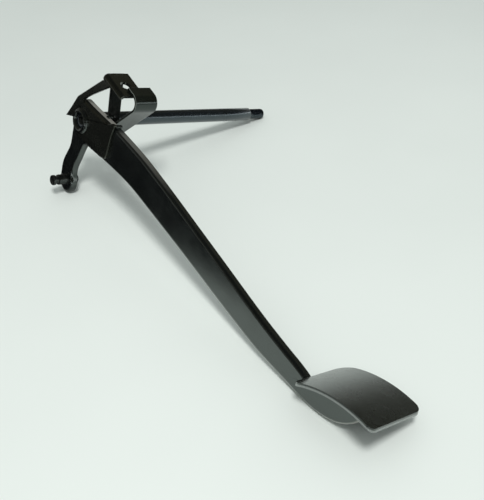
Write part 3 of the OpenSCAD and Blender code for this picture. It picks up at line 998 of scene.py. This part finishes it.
lathe("rod_pin_washer_disc", wp, PIN[0], PIN[1], M_PIN, ("rod_pin_washer",), seg=72, sharp=60)

# ---------------------------------------------------------------- floor
fm, nt = new_mat("pale_floor")
N, L = nt.nodes, nt.links
out = N.new('ShaderNodeOutputMaterial')
b_ = N.new('ShaderNodeBsdfPrincipled')
L.new(b_.outputs['BSDF'], out.inputs['Surface'])
tc = N.new('ShaderNodeTexCoord')
n1 = N.new('ShaderNodeTexNoise')
n1.inputs['Scale'].default_value = 3.0
n1.inputs['Detail'].default_value = 3.0
L.new(tc.outputs['Object'], n1.inputs['Vector'])
r1 = N.new('ShaderNodeValToRGB')
r1.color_ramp.elements[0].position = 0.3
r1.color_ramp.elements[0].color = (0.73, 0.775, 0.75, 1)
r1.color_ramp.elements[1].position = 0.7
r1.color_ramp.elements[1].color = (0.77, 0.815, 0.79, 1)
L.new(n1.outputs['Fac'], r1.inputs['Fac'])
L.new(r1.outputs['Color'], b_.inputs['Base Color'])
b_.inputs['Roughness'].default_value = 0.9
b_.inputs['Specular IOR Level'].default_value = 0.2
# beyond the sheet's left end, reflections see a dark room
lp = N.new('ShaderNodeLightPath')
gp = N.new('ShaderNodeNewGeometry')
dl = N.new('ShaderNodeVectorMath')
dl.operation = 'DOT_PRODUCT'
la, lb = Vector((-0.30, -0.60, 0)), Vector((-0.02, 0.46, 0))
ld_ = (lb - la).normalized()
ln = Vector((-ld_.y, ld_.x, 0))
dl.inputs[1].default_value = tuple(ln)
L.new(gp.outputs['Position'], dl.inputs[0])
mr_ = N.new('ShaderNodeMapRange')
mr_.inputs['From Min'].default_value = ln.dot(la) - 0.07
mr_.inputs['From Max'].default_value = ln.dot(la) - 0.005
L.new(dl.outputs['Value'], mr_.inputs['Value'])
mg = N.new('ShaderNodeMath')
mg.operation = 'MULTIPLY'
# and behind the lever, where the part's own shade lies
sp = N.new('ShaderNodeSeparateXYZ')
L.new(gp.outputs['Position'], sp.inputs[0])
my = N.new('ShaderNodeMapRange')
my.inputs['From Min'].default_value = -0.02
my.inputs['From Max'].default_value = 0.03
L.new(sp.outputs['Y'], my.inputs['Value'])
mxx = N.new('ShaderNodeMapRange')
mxx.inputs['From Min'].default_value = 0.03
mxx.inputs['From Max'].default_value = 0.0
L.new(sp.outputs['X'], mxx.inputs['Value'])
mm = N.new('ShaderNodeMath')
mm.operation = 'MULTIPLY'
L.new(my.outputs['Result'], mm.inputs[0])
L.new(mxx.outputs['Result'], mm.inputs[1])
mxm = N.new('ShaderNodeMath')
mxm.operation = 'MAXIMUM'
L.new(mr_.outputs['Result'], mxm.inputs[0])
L.new(mm.outputs[0], mxm.inputs[1])
# reflections also see the floor painted dark past the sheet's end on the viewer's side
mf = N.new('ShaderNodeMapRange')
mf.inputs['From Min'].default_value = -0.50
mf.inputs['From Max'].default_value = -0.80
mf.inputs['To Max'].default_value = 0.9
L.new(sp.outputs['Y'], mf.inputs['Value'])
mx4 = N.new('ShaderNodeMath')
mx4.operation = 'MAXIMUM'
L.new(mxm.outputs[0], mx4.inputs[0])
L.new(mf.outputs['Result'], mx4.inputs[1])
L.new(mx4.outputs[0], mg.inputs[0])
L.new(lp.outputs['Is Glossy Ray'], mg.inputs[1])
em = N.new('ShaderNodeEmission')
em.inputs['Color'].default_value = (0.010, 0.011, 0.012, 1)
ms = N.new('ShaderNodeMixShader')
L.new(mg.outputs[0], ms.inputs[0])
L.new(b_.outputs['BSDF'], ms.inputs[1])
L.new(em.outputs['Emission'], ms.inputs[2])
L.new(ms.outputs[0], out.inputs['Surface'])
me = bpy.data.meshes.new("floor")
FR = 2.2
nseg = 96
vv = [(0, 0, FLOOR_Z)] + [(FR * math.cos(2 * math.pi * i / nseg), FR * math.sin(2 * math.pi * i / nseg), FLOOR_Z) for i in range(nseg)]
me.from_pydata(vv, [], [(0, 1 + i, 1 + (i + 1) % nseg) for i in range(nseg)])
me.materials.append(fm)
floor = bpy.data.objects.new("floor", me)
bpy.context.scene.collection.objects.link(floor)
floor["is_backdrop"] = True

# ---------------------------------------------------------------- world and lights
w = bpy.data.worlds.new("studio")
bpy.context.scene.world = w
w.use_nodes = True
nt = w.node_tree
N, L = nt.nodes, nt.links
for n in list(N):
    N.remove(n)
wo = N.new('ShaderNodeOutputWorld')
bg = N.new('ShaderNodeBackground')
L.new(bg.outputs['Background'], wo.inputs['Surface'])
tc = N.new('ShaderNodeTexCoord')
sx = N.new('ShaderNodeSeparateXYZ')
L.new(tc.outputs['Generated'], sx.inputs['Vector'])
rp = N.new('ShaderNodeValToRGB')
rp.color_ramp.elements[0].position = 0.0
rp.color_ramp.elements[0].color = (0.30, 0.31, 0.31, 1)
rp.color_ramp.elements[1].position = 1.0
rp.color_ramp.elements[1].color = (0.95, 1.0, 0.98, 1)
e = rp.color_ramp.elements.new(0.25)
e.color = (0.42, 0.44, 0.43, 1)
L.new(sx.outputs['Z'], rp.inputs['Fac'])
L.new(rp.outputs['Color'], bg.inputs['Color'])
bg.inputs['Strength'].default_value = 0.69
bgd = N.new('ShaderNodeBackground')


def ramp(stops):
    rg = N.new('ShaderNodeValToRGB')
    er = rg.color_ramp.elements
    er[0].position, er[0].color = stops[0][0], stops[0][1] + (1,)
    er[1].position, er[1].color = stops[-1][0], stops[-1][1] + (1,)
    for (ps_, c_) in stops[1:-1]:
        q_ = er.new(ps_)
        q_.color = c_ + (1,)
    return rg


# height over the horizon, 0.1 down to straight up, as 0..1
zz_ = N.new('ShaderNodeMapRange')
zz_.inputs['From Min'].default_value = -0.1
zz_.inputs['From Max'].default_value = 1.0
L.new(sx.outputs['Z'], zz_.inputs['Value'])
# behind the part the pale backdrop rises and fades
ra = ramp([(0.0, (0.55, 0.56, 0.54)), (0.09, (0.50, 0.51, 0.49)), (0.17, (0.32, 0.33, 0.31)), (0.26, (0.12, 0.12, 0.10)),
           (0.36, (0.05, 0.048, 0.038)), (0.5, (0.06, 0.058, 0.04)), (0.6, (0.12, 0.115, 0.08)), (0.75, (0.03, 0.03, 0.025)), (1.0, (0.015, 0.015, 0.013))])
# towards the room only a thin bright strip lies on the horizon
rb = ramp([(0.0, (0.02, 0.02, 0.02)), (0.05, (0.30, 0.31, 0.32)), (0.10, (3.2, 3.3, 3.3)), (0.14, (2.8, 2.9, 2.9)),
           (0.17, (0.02, 0.02, 0.02)), (0.45, (0.08, 0.08, 0.055)), (0.75, (0.03, 0.03, 0.025)), (1.0, (0.015, 0.015, 0.013))])
L.new(zz_.outputs['Result'], ra.inputs['Fac'])
L.new(zz_.outputs['Result'], rb.inputs['Fac'])
yy_ = N.new('ShaderNodeMapRange')
yy_.inputs['From Min'].default_value = -0.05
yy_.inputs['From Max'].default_value = 0.25
L.new(sx.outputs['Y'], yy_.inputs['Value'])
mxw = N.new('ShaderNodeMix')
mxw.data_type = 'RGBA'
L.new(yy_.outputs['Result'], mxw.inputs[0])
L.new(rb.outputs['Color'], mxw.inputs[6])
L.new(ra.outputs['Color'], mxw.inputs[7])
L.new(mxw.outputs[2], bgd.inputs['Color'])
lpw = N.new('ShaderNodeLightPath')
msw = N.new('ShaderNodeMixShader')
L.new(lpw.outputs['Is Glossy Ray'], msw.inputs[0])
L.new(bg.outputs['Background'], msw.inputs[1])
L.new(bgd.outputs['Background'], msw.inputs[2])
L.new(msw.outputs[0], wo.inputs['Surface'])


def area(name, loc, target, size, power, color=(1, 1, 1)):
    ld = bpy.data.lights.new(name, 'AREA')
    ld.shape = 'RECTANGLE'
    ld.size, ld.size_y = size
    ld.energy = power
    ld.color = color
    ob = bpy.data.objects.new(name, ld)
    ob.location = loc
    d = Vector(target) - Vector(loc)
    ob.rotation_euler = d.to_track_quat('-Z', 'Y').to_euler()
    bpy.context.scene.collection.objects.link(ob)
    return ob


key = area("key", (-0.40, -0.88, 1.65), (0, -0.15, 0), (0.38, 0.38), 21.5, (1.0, 1.0, 0.98))
key.visible_glossy = False

# ---------------------------------------------------------------- camera
cd = bpy.data.cameras.new("camera")
cd.sensor_fit = 'AUTO'
cd.sensor_width = 36.0
cd.lens = 760.0 / 500.0 * 36.0
cd.clip_start = 0.01
cd.clip_end = 20.0
cd.dof.use_dof = False
cam = bpy.data.objects.new("camera", cd)
right = R3 @ Vector((0.740928, -0.632563, 0.225586))
up = R3 @ Vector((0.142489, 0.476316, 0.867650))
back = right.cross(up).normalized()
up = back.cross(right).normalized()
M = Matrix((right, up, back)).transposed().to_4x4()
M.translation = W(-389.853, -609.865, 252.454)
cam.matrix_world = M
bpy.context.scene.collection.objects.link(cam)
bpy.context.scene.camera = cam
bpy.context.scene.view_settings.view_transform = 'Standard'

lo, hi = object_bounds()
